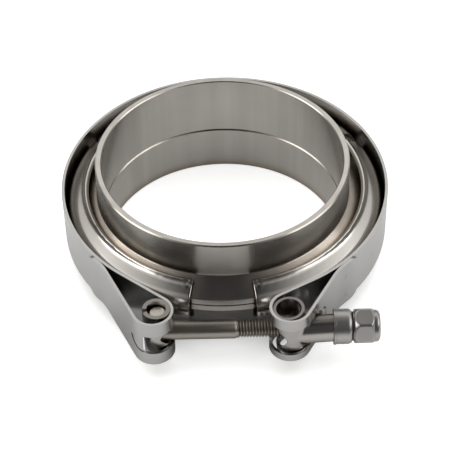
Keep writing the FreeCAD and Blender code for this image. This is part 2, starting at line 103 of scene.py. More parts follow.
def plus(tree, *values):
    total = values[0]
    for value in values[1:]:
        total = math_node(tree, "ADD", total, value)
    return total


def less(tree, value):
    return math_node(tree, "SUBTRACT", 1, value)


def span(tree, value, low, high, to_low=0, to_high=1):
    """The value led smoothly from one range to another and held at its ends."""
    node = add(tree, "ShaderNodeMapRange", interpolation_type="SMOOTHSTEP")
    given = {"Value": value, "From Min": low, "From Max": high, "To Min": to_low, "To Max": to_high}
    for name, amount in given.items():
        feed(tree, node.inputs[name], amount)
    return node.outputs["Result"]


def noise(tree, coordinates, scale, detail, stretch=(1.0, 1.0, 1.0)):
    mapping = add(tree, "ShaderNodeMapping", Scale=stretch)
    tree.links.new(coordinates, mapping.inputs["Vector"])
    node = add(tree, "ShaderNodeTexNoise", Scale=scale, Detail=detail)
    tree.links.new(mapping.outputs["Vector"], node.inputs["Vector"])
    return node.outputs["Fac"]


def ramp(tree, factor, tones):
    """Colour along a ramp of tones, each a place from 0 to 1 and a colour."""
    node = add(tree, "ShaderNodeValToRGB")
    stops = node.color_ramp.elements
    for place, _ in tones[1:-1]:
        stops.new(place)
    for stop, (_, colour) in zip(stops, tones):
        stop.color = (*colour, 1)
    tree.links.new(factor, node.inputs["Fac"])
    return node.outputs["Color"]


def crevice(tree, reach, darkest):
    """1 in the open, down to the darkest where another surface is near: painted shade in gaps and under things.
    """
    near = add(tree, "ShaderNodeAmbientOcclusion", samples=OCCLUSION_SAMPLES, Distance=reach * MM)
    return span(tree, near.outputs["AO"], *OCCLUSION_RANGE, darkest, 1)


def shaded(tree, colour, factor):
    """The colour times the tone of the painted shade, browner where the factor is low."""
    node = add(tree, "ShaderNodeVectorMath", operation="MULTIPLY")
    tree.links.new(colour, node.inputs[0])
    tree.links.new(ramp(tree, factor, PAINTED_GAP_SHADE_TONES), node.inputs[1])
    return node.outputs["Vector"]


# Spot welds: places on the sheet in millimetres, and the dimple that each leaves

STRAP_WELDS = ((40.67, -41.92, 2.18), (41.05, -41.44, -7.0), (51.14, -26.79, -2.19),
               (-51.4, -26.6, 2.4), (-51.4, -26.6, -7.0))
RETAINER_WELDS = ((-13.3, -53.7, -2.7), (12.4, -54.0, -2.2))
WELD_INNER, WELD_OUTER = 0.35, 0.95
WELD_DEPTH, WELD_TONE = 0.07, 0.8


def weld_dimples(tree, place, spots):
    """1 on the plain sheet, falling to 0 in the round dimple of each spot weld."""
    flats = []
    for spot in spots:
        far = add(tree, "ShaderNodeVectorMath", operation="DISTANCE")
        tree.links.new(place, far.inputs[0])
        far.inputs[1].default_value = [part * MM for part in spot]
        flats.append(span(tree, far.outputs["Value"], WELD_INNER * MM, WELD_OUTER * MM))
    return times(tree, *flats)


# Steels

SMUDGE_SCALE, SMUDGE_DETAIL, SMUDGE_RANGE = 60.0, 0.0, (0.2, 0.8)
GLOSS_LOW, GLOSS_HIGH = 0.84, 1.06
FINE_SCALE, FINE_DETAIL, FINE_SHARE = 1.0, 2.0, 0.3
CLOUD_DETAIL, CLOUD_SHARE = 3.0, 0.7
CLOUD_RANGE = (0.25, 0.75)
BEVEL_SAMPLES = 6
ROUND_THE_PIPE = 0.25


def steel(name, dark, light, rough, grain, grain_depth, anisotropy=0.0, edge=0.12, gap=1.2,
          streak=30.0, upright=0.15, welds=()):
    """Worn stainless steel: grain along one way, smudges that change its gloss, soft edges, gaps darkened by
    painted shade.

    The edge's radius and the reach of the painted shade in gaps are in millimetres, the grain's depth is in
    metres.
    """
    material, tree, shader = new_material(name)
    place = add(tree, "ShaderNodeTexCoord").outputs["Object"]
    smudge = noise(tree, place, SMUDGE_SCALE, SMUDGE_DETAIL)
    fine = noise(tree, place, FINE_SCALE, FINE_DETAIL, grain)
    cloud = noise(tree, place, streak, CLOUD_DETAIL, (1.0, 1.0, upright))

    mixed = plus(tree, times(tree, cloud, CLOUD_SHARE), times(tree, fine, FINE_SHARE))
    colour = ramp(tree, span(tree, mixed, *CLOUD_RANGE), ((0, dark), (1, light)))
    # Painted shade: the colour darkens and browns near other surfaces; the welds add the sheet's own darker
    # marks.
    gap_shade_and_welds = crevice(tree, gap, 0.0)
    if welds:
        dimples = weld_dimples(tree, place, welds)
        gap_shade_and_welds = times(tree, gap_shade_and_welds, span(tree, dimples, 0, 1, WELD_TONE, 1))
    shader.inputs["Metallic"].default_value = 1.0
    tree.links.new(shaded(tree, colour, gap_shade_and_welds), shader.inputs["Base Color"])
    gloss = span(tree, smudge, *SMUDGE_RANGE, rough * GLOSS_LOW, rough * GLOSS_HIGH)
    tree.links.new(gloss, shader.inputs["Roughness"])

    bump = add(tree, "ShaderNodeBump", Strength=1.0, Distance=grain_depth)
    tree.links.new(fine, bump.inputs["Height"])
    if edge:
        soft = add(tree, "ShaderNodeBevel", samples=BEVEL_SAMPLES, Radius=edge * MM)
        tree.links.new(soft.outputs["Normal"], bump.inputs["Normal"])
    if welds:
        pressed = add(tree, "ShaderNodeBump", Strength=1.0, Distance=WELD_DEPTH * MM)
        tree.links.new(dimples, pressed.inputs["Height"])
        tree.links.new(bump.outputs["Normal"], pressed.inputs["Normal"])
        bump = pressed
    tree.links.new(bump.outputs["Normal"], shader.inputs["Normal"])

    if anisotropy:
        shader.inputs["Anisotropic"].default_value = anisotropy
        shader.inputs["Anisotropic Rotation"].default_value = ROUND_THE_PIPE
        around = add(tree, "ShaderNodeTangent", direction_type="RADIAL", axis="Z")
        tree.links.new(around.outputs["Tangent"], shader.inputs["Tangent"])
    return material


# Stretch of the grain: high along the way that crosses its lines
TURNED = (60.0, 60.0, 5200.0)
BRUSHED = (45.0, 45.0, 3600.0)
DRAWN = (70.0, 70.0, 1500.0)
LATHE = (4200.0, 160.0, 160.0)

flange_steel = steel("flange_steel", (0.48, 0.455, 0.42), (0.57, 0.548, 0.515), 0.25, TURNED, 0.0000012,
                     anisotropy=0.9, edge=0, gap=6.5, streak=190.0, upright=0.03)
retainer_steel = steel("retainer_steel", (0.50, 0.478, 0.45), (0.58, 0.56, 0.53), 0.19, DRAWN, 0.0000030,
                       gap=2.5, welds=RETAINER_WELDS)
strap_steel = steel("strap_steel", (0.46, 0.457, 0.447), (0.52, 0.517, 0.507), 0.25, BRUSHED, 0.0000030,
                    edge=0.06, welds=STRAP_WELDS)
bolt_steel = steel("bolt_steel", (0.30, 0.275, 0.245), (0.40, 0.37, 0.335), 0.34, LATHE, 0.0000020)
sleeve_steel = steel("sleeve_steel", (0.42, 0.405, 0.385), (0.50, 0.485, 0.465), 0.25, DRAWN, 0.0000030)
washer_steel = steel("washer_steel", (0.40, 0.39, 0.375), (0.47, 0.46, 0.445), 0.345, LATHE, 0.0000030)
nut_steel = steel("nut_steel", (0.38, 0.37, 0.36), (0.45, 0.44, 0.43), 0.335, LATHE, 0.0000015)
sawn_steel = steel("sawn_steel", (0.26, 0.245, 0.225), (0.36, 0.34, 0.315), 0.42, DRAWN, 0.0000060, gap=0.8)
head_end_steel = steel("head_end_steel", (0.62, 0.575, 0.52), (0.72, 0.675, 0.62), 0.55, DRAWN, 0.0000100,
                       gap=0.3)

FINISHES = {
    "upper_flange": flange_steel,
    "lower_flange": flange_steel,
    "back_retainer": retainer_steel,
    "left_retainer": retainer_steel,
    "right_retainer": retainer_steel,
    "strap": strap_steel,
    "t_bolt": bolt_steel,
    "bolt_sleeve": sleeve_steel,
    "nut_trunnion": sleeve_steel,
    "cup_washer": washer_steel,
    "lock_nut": nut_steel,
}
END_FACING = 0.95


def sawn_ends(data):
    """The sawn ends of an upright tube are duller than its sides."""
    data.materials.append(sawn_steel)
    for face in data.polygons:
        face.material_index = 1 if abs(face.normal.z) > END_FACING else 0


for node_name, finish in FINISHES.items():
    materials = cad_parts[node_name].data.materials
    materials.clear()
    materials.append(finish)
for node_name in ("bolt_sleeve", "nut_trunnion"):
    sawn_ends(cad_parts[node_name].data)


# Meshes: built in millimetres, then scaled to metres

def bridged(mesh, rings, capped):
    """Quads from each ring of vertices to the next; the end rings are capped, or else joined."""
    following = rings[1:] if capped else rings[1:] + rings[:1]
    for here, there in zip(rings, following):
        for index in range(len(here)):
            after = (index + 1) % len(here)
            mesh.faces.new((here[index], there[index], there[after], here[after]))
    if capped:
        mesh.faces.new(rings[0])
        mesh.faces.new(rings[-1])
    bmesh.ops.recalc_face_normals(mesh, faces=mesh.faces)
    return mesh


def ring_about_x(mesh, along, radii):
    """Vertices about X at one place along it, one for each radius."""
    ring = []
    for step, radius in enumerate(radii):
        angle = TURN * step / len(radii)
        ring.append(mesh.verts.new((along, radius * math.cos(angle), radius * math.sin(angle))))
    return ring


def mesh_data(name, mesh):
    bmesh.ops.scale(mesh, verts=mesh.verts, vec=(MM, MM, MM))
    data = bpy.data.meshes.new(name)
    mesh.to_mesh(data)
    mesh.free()
    return data


def mesh_object(name, mesh):
    made = bpy.data.objects.new(name, mesh_data(name, mesh))
    bpy.context.scene.collection.objects.link(made)
    return made


def combined(base, other, operation):
    """The two solids added, or the second taken from the first, with an exact boolean."""
    modifier = base.modifiers.new("solids", "BOOLEAN")
    modifier.operation = operation
    modifier.solver = "EXACT"
    modifier.object = other
    graph = bpy.context.evaluated_depsgraph_get()
    data = bpy.data.meshes.new_from_object(base.evaluated_get(graph))
    for used in (base, other):
        bpy.data.objects.remove(used)
    return data


def new_piece(name, data, smooth_degrees, material, body):
    """A visible piece that rides a body; edges sharper than the angle stay sharp."""
    data.polygons.foreach_set("use_smooth", [True] * len(data.polygons))
    data.set_sharp_from_angle(angle=math.radians(smooth_degrees))
    piece = bpy.data.objects.new(name, data)
    bpy.context.scene.collection.objects.link(piece)
    data.materials.clear()
    data.materials.append(material)
    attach(piece, body)
    return piece


# Bolt with its rolled thread and the round bar of its head

SHANK_RADIUS, SHANK_END = 3.25, 2.75
SHANK_EDGE = 0.2, 0.06
THREAD_START, THREAD_END = 3.35, 50.55
MAJOR, MINOR, PITCH = 2.95, 2.40, 1.0
ROOT_SHARE, FLANK_SHARE = 0.18, 0.30
RUN_IN, RUN_OUT, RUN_OUT_SHARE = 1.2, 0.7, 0.1
NECK_STEP = 0.12
BOLT_SEGMENTS, THREAD_STEPS = 48, 12

HEAD_RADIUS, HEAD_TOP, HEAD_BOTTOM = 2.7, 8.7, 7.65
HEAD_ROUND, HEAD_ROUND_STEPS = 0.5, 6
HEAD_END_DEPTH = 0.4


def thread_radius(phase):
    """Radius at a phase of one pitch: a root, a flank, a crest and a flank."""
    if phase < ROOT_SHARE:
        return MINOR
    if phase < ROOT_SHARE + FLANK_SHARE:
        return MINOR + (MAJOR - MINOR) * (phase - ROOT_SHARE) / FLANK_SHARE
    if phase < 1 - FLANK_SHARE:
        return MAJOR
    return MINOR + (MAJOR - MINOR) * (1 - phase) / FLANK_SHARE


def threaded_shank():
    mesh = bmesh.new()
    edge_length, edge_depth = SHANK_EDGE
    rings = [ring_about_x(mesh, along, [radius] * BOLT_SEGMENTS) for along, radius in (
        (HEAD_X, SHANK_RADIUS), (HEAD_X / 2, SHANK_RADIUS), (SHANK_END, SHANK_RADIUS),
        (SHANK_END + edge_length, SHANK_RADIUS - edge_depth))]
    step_length = PITCH / THREAD_STEPS
    for index in range(int((THREAD_END - THREAD_START) / step_length) + 1):
        along = THREAD_START + index * step_length
        run_in = min(1.0, (along - THREAD_START) / RUN_IN)
        run_out = min(1.0, (THREAD_END - along) / RUN_OUT)
        highest = MINOR + (MAJOR - MINOR) * (RUN_OUT_SHARE + (1 - RUN_OUT_SHARE) * run_out)
        radii = []
        for step in range(BOLT_SEGMENTS):
            phase = (along / PITCH - step / BOLT_SEGMENTS) % 1.0
            radius = min(MAJOR - (MAJOR - thread_radius(phase)) * run_in, highest)
            radii.append(radius + (SHANK_RADIUS - NECK_STEP - MAJOR) * (1 - run_in))
        rings.append(ring_about_x(mesh, along, radii))
    return bridged(mesh, rings, True)


def cross_head():
    """Upright bar with rounded ends, closed by a point at the middle of each; it sits high in the sleeve."""
    end = []
    for index in range(HEAD_ROUND_STEPS + 1):
        angle = math.pi / 2 * index / HEAD_ROUND_STEPS
        end.append((HEAD_ROUND * (1 - math.cos(angle)), HEAD_RADIUS - HEAD_ROUND * (1 - math.sin(angle))))
    profile = [(-HEAD_TOP + along, radius) for along, radius in end]
    profile += [(HEAD_BOTTOM - along, radius) for along, radius in reversed(end)]
    mesh = bmesh.new()
    tip = [mesh.verts.new((-HEAD_TOP, 0, 0))]
    rings = [ring_about_x(mesh, along, [radius] * BOLT_SEGMENTS) for along, radius in profile]
    foot = [mesh.verts.new((HEAD_BOTTOM, 0, 0))]
    rings = [tip, *rings, foot]
    for first, second in zip(rings, rings[1:]):
        for step in range(BOLT_SEGMENTS):
            after = (step + 1) % BOLT_SEGMENTS
            corners = (first[step % len(first)], first[after % len(first)],
                       second[after % len(second)], second[step % len(second)])
            mesh.faces.new(list(dict.fromkeys(corners)))
    bmesh.ops.recalc_face_normals(mesh, faces=mesh.faces)
    bmesh.ops.rotate(mesh, verts=mesh.verts, matrix=Matrix.Rotation(math.pi / 2, 3, "Y"))
    bmesh.ops.translate(mesh, verts=mesh.verts, vec=(HEAD_X, 0, 0))
    return mesh


shank, head = threaded_shank(), cross_head()
for mesh in (shank, head):
    bmesh.ops.translate(mesh, verts=mesh.verts, vec=(0, BOLT_Y, BOLT_Z))
bolt_data = combined(mesh_object("shank", shank), mesh_object("head", head), "UNION")
bolt = new_piece("threaded_t_bolt", bolt_data, 28, bolt_steel, "clamp")
bolt_data.materials.append(head_end_steel)
for face in bolt_data.polygons:
    if face.center.z > (BOLT_Z + HEAD_TOP - HEAD_END_DEPTH) * MM:
        face.material_index = 1
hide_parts("t_bolt")


# Sleeve of the bolt's head: its slit opens outwards as a wedge

SLIT_ANGLE = math.radians(191)
SLIT_DEPTHS, SLIT_HALF_WIDTHS = (2.8, 5.4), (0.35, 1.25)
SLIT_HEIGHTS = (-14, 11)
MERGE = 0.0005


def slit_wedge():
    mesh = bmesh.new()
    out = Vector((math.cos(SLIT_ANGLE), math.sin(SLIT_ANGLE), 0))
    aside = Vector((-out.y, out.x, 0))
    (near, far), (narrow, wide) = SLIT_DEPTHS, SLIT_HALF_WIDTHS
    corners = ((near, narrow), (near, -narrow), (far, -wide), (far, wide))
    rings = []
    for height in SLIT_HEIGHTS:
        base = Vector((SLEEVE_X, SLEEVE_Y, height))
        rings.append([mesh.verts.new(base + out * depth + aside * half) for depth, half in corners])
    return bridged(mesh, rings, True)


def whole_copy(node_name):
    """The node's mesh as a closed solid, in millimetres."""
    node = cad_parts[node_name]
    mesh = bmesh.new()
    mesh.from_mesh(node.data)
    bmesh.ops.transform(mesh, matrix=node.matrix_world, verts=mesh.verts)
    bmesh.ops.scale(mesh, verts=mesh.verts, vec=(1 / MM, 1 / MM, 1 / MM))
    bmesh.ops.remove_doubles(mesh, verts=mesh.verts, dist=MERGE)
    return mesh


sleeve_data = combined(mesh_object("sleeve", whole_copy("bolt_sleeve")),
                       mesh_object("wedge", slit_wedge()), "DIFFERENCE")
sleeve = new_piece("split_sleeve", sleeve_data, 25, sleeve_steel, "clamp")
sawn_ends(sleeve_data)
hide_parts("bolt_sleeve")


# Lock nut with soft corners and turned chamfers

NUT_START, NUT_LENGTH, NUT_BORE = 41.951, 8.95, 3.0
NUT_FACE_LENGTH, NUT_FACE_RADIUS = 0.5, 4.9
NUT_HEX_LENGTH, NUT_HALF_FLATS = 6.3, 5.65
NUT_FLAT_ANGLE = math.radians(41.7)
NUT_CORNER_ROUND, NUT_CORNER_STEPS, NUT_FLAT_STEPS = 1.0, 8, 16
NUT_CHAMFER_START, NUT_SLOPES = 5.624, (0.5625, 0.9)
NUT_BLEND, NUT_HEX_STEPS = 0.09, 56
NUT_CROWN_RADIUS, NUT_CROWN_ROUND, NUT_CROWN_STEPS = 5.3, 1.3, 8


def soft_hexagon():
    """(angle, radius) of the hexagon with its corners rounded."""
    arcs = []
    centre = (NUT_HALF_FLATS - NUT_CORNER_ROUND) / math.cos(math.pi / 6)
    for corner in range(6):
        towards = NUT_FLAT_ANGLE + math.pi / 6 + corner * math.pi / 3
        middle = Vector((math.cos(towards), math.sin(towards))) * centre
        angles = [towards - math.pi / 6 + math.pi / 3 * step / NUT_CORNER_STEPS
                  for step in range(NUT_CORNER_STEPS + 1)]
        arcs.append([middle + Vector((math.cos(angle), math.sin(angle))) * NUT_CORNER_ROUND
                     for angle in angles])
    points = []
    for arc, following in zip(arcs, arcs[1:] + arcs[:1]):
        points += arc
        points += [arc[-1].lerp(following[0], step / NUT_FLAT_STEPS) for step in range(1, NUT_FLAT_STEPS)]
    return [(math.atan2(point.y, point.x), point.length) for point in points]


def blended_least(first, second):
    return -NUT_BLEND * math.log(math.exp(-first / NUT_BLEND) + math.exp(-second / NUT_BLEND))


def soft_nut():
    outline = soft_hexagon()
    face_end, nut_end = NUT_START + NUT_FACE_LENGTH, NUT_START + NUT_LENGTH
    stations = [(NUT_START, NUT_BORE, False), (NUT_START, NUT_FACE_RADIUS, False),
                (face_end, NUT_FACE_RADIUS, False)]
    for step in range(NUT_HEX_STEPS + 1):
        along = NUT_HEX_LENGTH * (step / NUT_HEX_STEPS)
        chamfer = min(along * NUT_SLOPES[0], (NUT_HEX_LENGTH - along) * NUT_SLOPES[1])
        stations.append((face_end + along, NUT_CHAMFER_START + chamfer, True))
    stations.append((face_end + NUT_HEX_LENGTH, NUT_CROWN_RADIUS, False))
    for step in range(NUT_CROWN_STEPS + 1):
        angle = math.pi / 2 * step / NUT_CROWN_STEPS
        stations.append((nut_end - NUT_CROWN_ROUND * (1 - math.sin(angle)),
                         NUT_CROWN_RADIUS - NUT_CROWN_ROUND * (1 - math.cos(angle)), False))
    stations.append((nut_end, NUT_BORE, False))
    mesh = bmesh.new()
    rings = []
    for along, limit, hexagonal in stations:
        ring = []
        for angle, radius in outline:
            here = blended_least(radius, limit) if hexagonal else limit
            y, z = here * math.cos(angle) + BOLT_Y, here * math.sin(angle) + BOLT_Z
            ring.append(mesh.verts.new((along, y, z)))
        rings.append(ring)
    return bridged(mesh, rings, False)


nut = new_piece("soft_lock_nut", mesh_data("nut", soft_nut()), 32, nut_steel, "nut")
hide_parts("lock_nut")


# Turned flanges

BORE, TUBE, RIM = 42.25, 44.45, 51.95
TUBE_LENGTH, OUTER_CHAMFER, INNER_CHAMFER = 20.3, 0.4, 0.28
RIM_EDGE, RIM_BEVEL = 2.55, 0.3
RIM_TURN = ((0, -0.15), (-0.12, 0.07))
REGISTER, REGISTER_WALL, REGISTER_GAP, REGISTER_CHAMFER = 2.6, 3.7, 0.05, 0.3
SEAM_CHAMFER = 0.55
CONE_SLOPE = math.tan(math.radians(30))
FOOT = RIM_EDGE + (RIM - TUBE) * CONE_SLOPE
FOOT_RADIUS, FOOT_STEPS = 0.8, 6
FLANGE_SEGMENTS = 320


def round_corner(before, corner, after, radius, steps):
    """Points of an arc of the radius that rounds the corner of a profile."""
    come = (corner - before).normalized()
    leave = (after - corner).normalized()
    turn = math.atan2(come.x * leave.y - come.y * leave.x, come.dot(leave))
    setback = radius * math.tan(abs(turn) / 2)
    first = corner - come * setback
    side = math.copysign(1, turn)
    centre = first + Vector((-come.y, come.x)) * (side * radius)
    spoke = first - centre
    points = []
    for index in range(steps + 1):
        angle = turn * index / steps
        points.append(centre + Vector((spoke.x * math.cos(angle) - spoke.y * math.sin(angle),
                                       spoke.x * math.sin(angle) + spoke.y * math.cos(angle))))
    return points


def turned_about_z(outline, segments):
    """Closed ring of a closed outline of (radius, height) points."""
    mesh = bmesh.new()
    rings = []
    for step in range(segments):
        angle = TURN * step / segments
        rings.append([mesh.verts.new((radius * math.cos(angle), radius * math.sin(angle), height))
                      for radius, height in outline])
    return bridged(mesh, rings, False)


def flange_outline(up):
    """The upper flange carries the register's tongue, the lower one the step that it fits in."""
    if up:
        step, wall, sign = REGISTER, BORE + REGISTER_WALL, 1
        outline = [(BORE, -step + REGISTER_CHAMFER), (BORE + REGISTER_CHAMFER, -step),
                   (wall - SEAM_CHAMFER, -step), (wall, -step + SEAM_CHAMFER)]
    else:
        step, wall, sign = REGISTER + REGISTER_GAP, BORE + (REGISTER_WALL + REGISTER_GAP), -1
        outline = [(BORE, -step - SEAM_CHAMFER), (BORE + SEAM_CHAMFER, -step), (wall, -step)]
    outline += [(wall, 0), (RIM - RIM_BEVEL, 0), (RIM, sign * RIM_BEVEL)]
    outline += [(RIM + inwards, sign * (RIM_EDGE + higher)) for inwards, higher in RIM_TURN]
    foot = round_corner(Vector((RIM, sign * RIM_EDGE)), Vector((TUBE, sign * FOOT)),
                        Vector((TUBE, sign * TUBE_LENGTH)), FOOT_RADIUS, FOOT_STEPS)
    outline += [tuple(point) for point in foot]
    outline += [(TUBE, sign * (TUBE_LENGTH - OUTER_CHAMFER)), (TUBE - OUTER_CHAMFER, sign * TUBE_LENGTH),
                (BORE + INNER_CHAMFER, sign * TUBE_LENGTH), (BORE, sign * (TUBE_LENGTH - INNER_CHAMFER))]
    return outline


for flange_name, up in (("upper_flange", True), ("lower_flange", False)):
    data = mesh_data(flange_name + "_turned", turned_about_z(flange_outline(up), FLANGE_SEGMENTS))
    turned = new_piece(flange_name + "_turned", data, 25, flange_steel, "clamp")
    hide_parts(flange_name)


# Rolled retainers, crumpled where their lips end at the gap

SHEET, CUT_ROUND, CUT_STEPS = 1.5, 0.3, 5
CREST_RADIUS, CREST_HEIGHT = 49.9, 7.1
LIP_LEAN, LIP_RISE = 1.2, 1.55
WEB_RADIUS = 55.95
WEB_HEIGHT = CREST_HEIGHT - CONE_SLOPE * (WEB_RADIUS - CREST_RADIUS)
WEB_BEND, WEB_STEPS = 6.1, 12
LIP_BEND, LIP_STEPS = 5.0, 6
LEG_CROWN, LEG_LOW, LEG_HIGH = 0.10, WEB_HEIGHT - 1.0, CREST_HEIGHT + 0.1
OUTLINE_SPACING = 0.3
GAP, NOTCH, NOTCH_SPREAD, RING_ANGLE = 23.6, 5.0, 120.2, -1.6
CLAMP_PLACE = Matrix.Translation((0.7, 1.2, -0.9546)) @ Matrix.Rotation(math.radians(0.7), 4, "X")

# Shares of the sheet's width and degrees from the gap over which lips and folds fade out
LIP_SHARE, FOLD_SHARE, FOLD_REACH = 0.22, 0.16, 4.5
CRIMP = 0.5
# The end stations in radians from the cut, and how far the cut's edges are rounded there
END_STATIONS, END_INSETS = (0.0025, 0.005), (0.14, 0.035)
SIDE_STATIONS, BACK_STATIONS = 300, 220


def section_middle():
    """Middle line of the sheet from the upper lip's tip to the lower one's."""
    half = [Vector((CREST_RADIUS - LIP_LEAN, CREST_HEIGHT + LIP_RISE)),
            Vector((CREST_RADIUS, CREST_HEIGHT)), Vector((WEB_RADIUS, WEB_HEIGHT))]
    corners = half + [Vector((point.x, -point.y)) for point in reversed(half)]
    lip, web = (LIP_BEND, LIP_STEPS), (WEB_BEND, WEB_STEPS)
    line = [corners[0]]
    for index, bend in enumerate((lip, web, web, lip), start=1):
        line += round_corner(corners[index - 1], corners[index], corners[index + 1], *bend)
    return line + [corners[-1]]


def normals_of(line):
    result = []
    for index in range(len(line)):
        before, after = line[max(0, index - 1)], line[min(len(line) - 1, index + 1)]
        along = (after - before).normalized()
        result.append(Vector((-along.y, along.x)))
    return result


def crowned(line):
    """The sheet's middle line with its legs pressed a little round."""
    result = []
    for point, normal in zip(line, normals_of(line)):
        share = (abs(point.y) - LEG_LOW) / (LEG_HIGH - LEG_LOW)
        crown = LEG_CROWN * math.sin(math.pi * share) if 0 < share < 1 else 0
        result.append(point + normal * crown)
    return result


def resampled(line, spacing):
    """Points spread evenly along a line, so that small forms can be pressed into it."""
    lengths = [0.0]
    for first, second in zip(line, line[1:]):
        lengths.append(lengths[-1] + (second - first).length)
    count = max(2, round(lengths[-1] / spacing))
    points, index = [], 0
    for step in range(count + 1):
        target = lengths[-1] * step / count
        while index < len(line) - 2 and lengths[index + 1] < target:
            index += 1
        piece = lengths[index + 1] - lengths[index]
        share = (target - lengths[index]) / piece if piece else 0
        points.append(line[index].lerp(line[index + 1], min(1, share)))
    return points


def retainer_outline():
    """Closed outline of the sheet with small rounds at its cut edges, and each point's share along it."""
    middle = crowned(resampled(section_middle(), OUTLINE_SPACING))
    normals = normals_of(middle)
    half, count = SHEET / 2, len(middle) - 1
    outer, inner = [[(point + normal * (half * side), index / count)
                     for index, (point, normal) in enumerate(zip(middle, normals))] for side in (1, -1)]
    ends = []
    for point, normal, along in ((middle[-1], normals[-1], 1), (middle[0], normals[0], -1)):
        way = Vector((normal.y, -normal.x)) * along
        side = normal * along
        cap = []
        for index in range(CUT_STEPS):
            angle = math.pi * (index + 0.5) / CUT_STEPS
            rounded = way * (CUT_ROUND * math.sin(angle)) - way * CUT_ROUND
            cap.append((point + side * (half * math.cos(angle)) + rounded, 1.0 if along == 1 else 0.0))
        ends.append(cap)
    return outer[1:-1] + ends[0] + inner[::-1][1:-1] + ends[1]


def wave(*terms):
    """Sum of sines of given amplitudes and phases, for hammered and pressed marks."""
    return sum(size * math.sin(phase) for size, phase in terms)


def crumple(share, angle, from_end):
    """Push along the sheet's normal, in millimetres: crimps in the lips, folds beside the gap."""
    rim_share = min(share, 1 - share)
    lip = max(0.0, 1 - rim_share / LIP_SHARE)
    fine = wave((0.014, angle * 31), (0.012, angle * 57 + 1.3), (0.010, angle * 103 + share * 21))
    press = lip * fine * CRIMP
    if from_end is not None:
        near = max(0.0, 1 - from_end / FOLD_REACH)
        fold = wave((0.10, from_end * 1.6 + share * 23), (0.06, from_end * 2.9 - share * 47 + 0.8))
        edge = max(0.0, 1 - rim_share / FOLD_SHARE)
        press += near * edge * fold
    return press


def retainer_mesh(arc, middle_angle, gap_end):
    """One segment swept about the clamp's axis. gap_end says which end lies at the gap: -1, 0 or 1."""
    outline = retainer_outline()
    centre = [point for point, _ in outline]
    count = len(outline)
    start, end = math.radians(middle_angle - arc / 2), math.radians(middle_angle + arc / 2)
    close, clear = END_STATIONS
    steps = SIDE_STATIONS if gap_end else BACK_STATIONS
    inside = [start + clear + (end - start - 2 * clear) * index / steps for index in range(1, steps)]
    stations = [start, start + close, start + clear, *inside, end - clear, end - close, end]
    insets = [*END_INSETS, *[0] * (len(stations) - 4), *reversed(END_INSETS)]
    mesh = bmesh.new()
    rings = []
    for angle, inset in zip(stations, insets):
        from_gap = {-1: math.degrees(angle - start), 0: None, 1: math.degrees(end - angle)}[gap_end]
        ring = []
        for index, (point, share) in enumerate(outline):
            along = (centre[(index + 1) % count] - centre[index - 1]).normalized()
            outward = Vector((-along.y, along.x))
            side = 1 if index < count / 2 else -1
            pushed = point + outward * (side * crumple(share, angle, from_gap)) - outward * inset
            ring.append(mesh.verts.new((pushed.x * math.cos(angle), pushed.x * math.sin(angle), pushed.y)))
        rings.append(ring)
    bridged(mesh, rings, True)
    bmesh.ops.transform(mesh, matrix=CLAMP_PLACE, verts=mesh.verts)
    return mesh


back_middle = 90 + RING_ANGLE
side_arc = 180 - NOTCH_SPREAD / 2 - NOTCH / 2 - GAP / 2
side_offset = NOTCH_SPREAD / 2 + NOTCH / 2 + side_arc / 2
RETAINERS = (
    ("back_retainer", NOTCH_SPREAD - NOTCH, back_middle, 0),
    ("left_retainer", side_arc, back_middle + side_offset, 1),
    ("right_retainer", side_arc, back_middle - side_offset, -1),
)
for retainer_name, arc, middle_angle, gap_end in RETAINERS:
    data = mesh_data(retainer_name + "_rolled", retainer_mesh(arc, middle_angle, gap_end))
    rolled = new_piece(retainer_name + "_rolled", data, 50, retainer_steel, "clamp")
    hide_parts(retainer_name)


# Studio: a tent of soft light. Angles are in degrees, aside from the front or up from the level,
# and each pair is where a smooth rise begins and ends

LIGHT_TONE, WHITE = (1.0, 0.985, 0.965, 1), (1, 1, 1, 1)
SIDE, BACK = (38, 74), (105, 145)
BAND, BACK_LESS = 0.74, -0.06
BAND_FOOT, BAND_HEAD = (21, 26), (42, 68)
BACK_FOOT_LOWER = (13, 2)
PATCH_FOOT, PATCH_HEAD = (21, 24), (34, 44)
LEFT_PATCH, LEFT_FROM, LEFT_TO = 3.4, (-110, -98), (-62, -52)
RIGHT_PATCH, RIGHT_FROM, RIGHT_TO = 2.3, (52, 62), (100, 112)
SHOULDER, SHOULDER_SIDE, SHOULDER_FOOT, SHOULDER_HEAD = 0.34, (15, 50), (30, 44), (58, 74)
ZENITH, ZENITH_FOOT = 0.12, (78, 88)
LOW_SIDE = 0.09
FRONT_DARK, DARKER_SHARE, DARKER_FOOT, DARKER_SIDE = 0.075, 0.9, (56, 66), (60, 100)
WORLD_MAP = 1024


